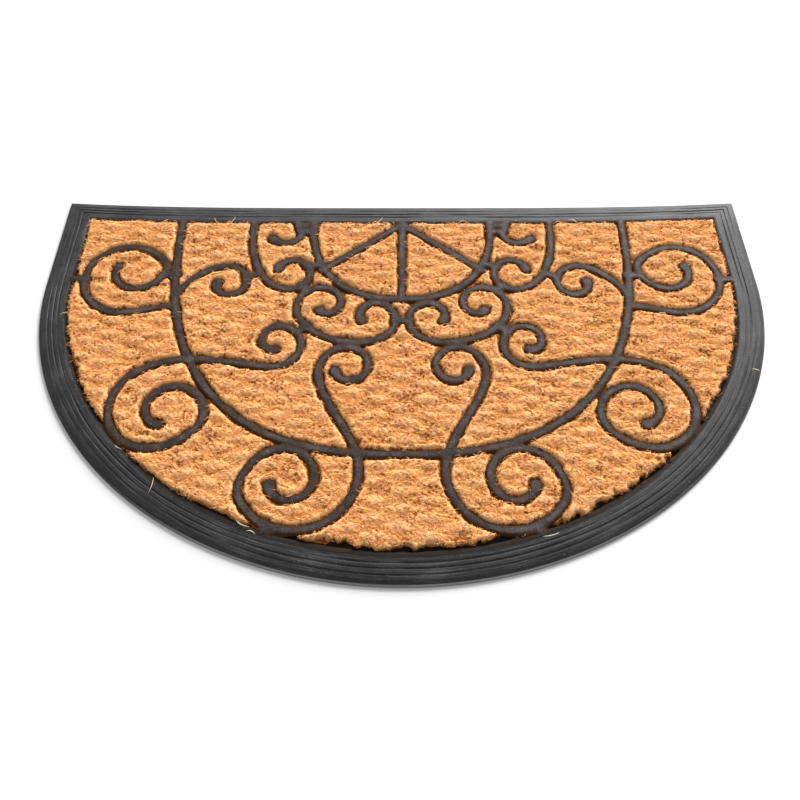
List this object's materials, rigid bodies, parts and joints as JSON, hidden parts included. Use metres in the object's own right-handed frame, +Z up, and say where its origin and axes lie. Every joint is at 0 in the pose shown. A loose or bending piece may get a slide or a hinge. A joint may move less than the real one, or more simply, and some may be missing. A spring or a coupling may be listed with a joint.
{
  "type": "coir doormat",
  "caption": "Half-round coir doormat: a woven coir panel in a grooved black rubber rim, with raised rubber scrollwork bars in a fanlight layout.",
  "frame": {"origin": "on the floor, under the middle of the mat's bounding box", "axes": "+X along the straight back edge, +Y from the curved front to the straight back edge, +Z up out of the coir"},
  "size_m": [0.75, 0.45, 0.0105],
  "materials": {
    "black_rubber": "matt moulded black rubber, slightly worn and dusty",
    "coir": "coarse woven coconut fibre, golden brown, dull"
  },
  "bodies": {
    "root": {"rubber_moulding": "black_rubber", "coir_panel": "coir"}
  },
  "joints": []
}
